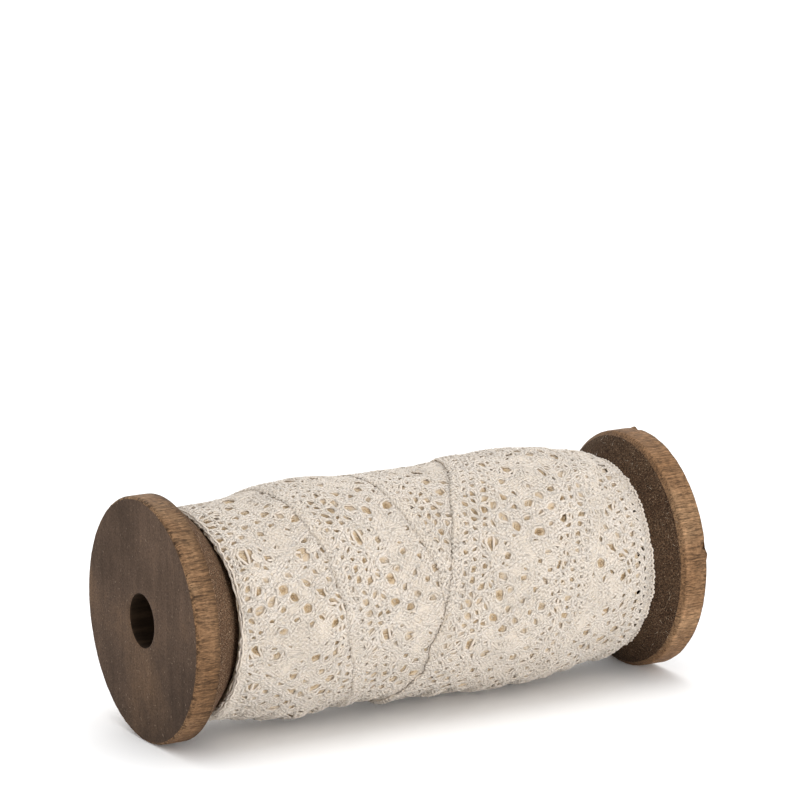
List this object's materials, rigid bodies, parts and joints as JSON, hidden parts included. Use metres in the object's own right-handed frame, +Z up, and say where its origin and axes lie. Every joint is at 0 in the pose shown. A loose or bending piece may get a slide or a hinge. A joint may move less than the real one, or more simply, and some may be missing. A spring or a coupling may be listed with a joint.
{
  "type": "spool of lace ribbon",
  "caption": "Turned wooden spool with flanged ends and a through bore, wound with cream cotton lace ribbon, lying on its side.",
  "frame": {"origin": "centre of the footprint, on the surface that the two rims rest on, halfway along the spool and under its axis", "axes": "+X along the spool's axis, +Z up, -Y to the side that the picture shows; the camera sees the -X flange's outer face"},
  "size_m": [0.1174, 0.05, 0.0498],
  "materials": {
    "wood": "walnut-stained turned wood, satin, darker on the flange faces and cones",
    "lace": "natural cream cotton bobbin-lace ribbon, matt"
  },
  "bodies": {
    "root": {"spool": "wood", "lace_roll": "lace"}
  },
  "joints": []
}
